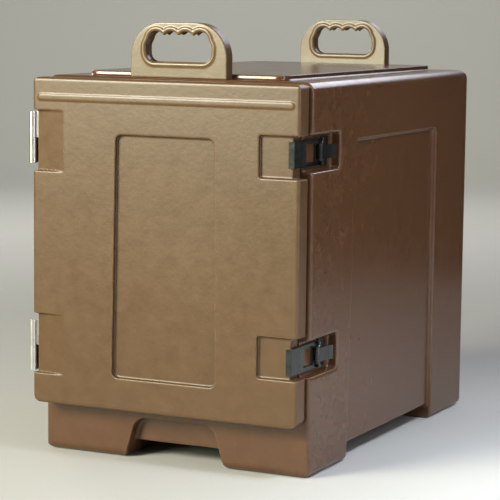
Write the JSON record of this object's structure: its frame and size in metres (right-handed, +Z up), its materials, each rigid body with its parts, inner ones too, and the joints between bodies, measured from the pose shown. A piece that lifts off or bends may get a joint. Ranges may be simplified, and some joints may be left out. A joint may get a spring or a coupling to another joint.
{
  "type": "insulated food carrier",
  "caption": "Front-loading insulated carrier for food pans: foam-filled moulded box, side-hinged gasketed door with draw latches, carrying handles on top.",
  "frame": {"origin": "middle of the whole object's base, on the floor under the feet", "axes": "+Z up, -Y towards the door, +X towards the latches"},
  "size_m": [0.4418, 0.6586, 0.64],
  "materials": {
    "moulded_body": "satin",
    "moulded_door": "satin",
    "insulation_foam": "matte",
    "gasket_rubber": "matte",
    "stainless_steel": "satin",
    "black_nylon": "satin",
    "insert_brass": "satin"
  },
  "bodies": {
    "carrier": {"body_shell": "moulded_body", "body_foam": "insulation_foam", "body_fill_plugs": "moulded_body", "front_handle": "moulded_body", "rear_handle": "moulded_body", "left_pan_ledges": "moulded_body", "right_pan_ledges": "moulded_body", "body_inserts": "insert_brass", "upper_hinge_body_leaf": "stainless_steel", "upper_hinge_pin": "stainless_steel", "lower_hinge_body_leaf": "stainless_steel", "lower_hinge_pin": "stainless_steel", "hinge_body_screws": "stainless_steel", "upper_latch_base": "black_nylon", "upper_latch_lever_pin": "stainless_steel", "lower_latch_base": "black_nylon", "lower_latch_lever_pin": "stainless_steel", "latch_screws": "stainless_steel"},
    "door": {"door_shell": "moulded_door", "door_foam": "insulation_foam", "door_fill_plug": "moulded_door", "door_gasket": "gasket_rubber", "door_inserts": "insert_brass", "upper_hinge_door_leaf": "stainless_steel", "lower_hinge_door_leaf": "stainless_steel", "hinge_door_screws": "stainless_steel"},
    "upper_lever": {"upper_latch_lever": "black_nylon", "upper_latch_hook_pin": "stainless_steel"},
    "upper_hook": {"upper_latch_hook": "black_nylon"},
    "lower_lever": {"lower_latch_lever": "black_nylon", "lower_latch_hook_pin": "stainless_steel"},
    "lower_hook": {"lower_latch_hook": "black_nylon"}
  },
  "joints": [
    {"name": "door_hinge", "type": "hinge", "parent": "carrier", "child": "door", "pos_m": [-0.2157, -0.3229, 0.316], "axis": [0, 0, -1], "range_deg": [0, 260]},
    {"name": "upper_latch_lever", "type": "hinge", "parent": "carrier", "child": "upper_lever", "pos_m": [0.2119, -0.2487, 0.462], "axis": [0, 0, -1], "range_deg": [0, 150]},
    {"name": "upper_latch_hook", "type": "hinge", "parent": "upper_lever", "child": "upper_hook", "pos_m": [0.2107, -0.2387, 0.462], "axis": [0, 0, 1], "range_deg": [0, 180]},
    {"name": "lower_latch_lever", "type": "hinge", "parent": "carrier", "child": "lower_lever", "pos_m": [0.2119, -0.2487, 0.172], "axis": [0, 0, -1], "range_deg": [0, 150]},
    {"name": "lower_latch_hook", "type": "hinge", "parent": "lower_lever", "child": "lower_hook", "pos_m": [0.2107, -0.2387, 0.172], "axis": [0, 0, 1], "range_deg": [0, 180]}
  ],
  "couplings": [
    {"joint": "upper_latch_hook", "follows": "upper_latch_lever", "ratio": 1.2},
    {"joint": "lower_latch_hook", "follows": "lower_latch_lever", "ratio": 1.2}
  ]
}
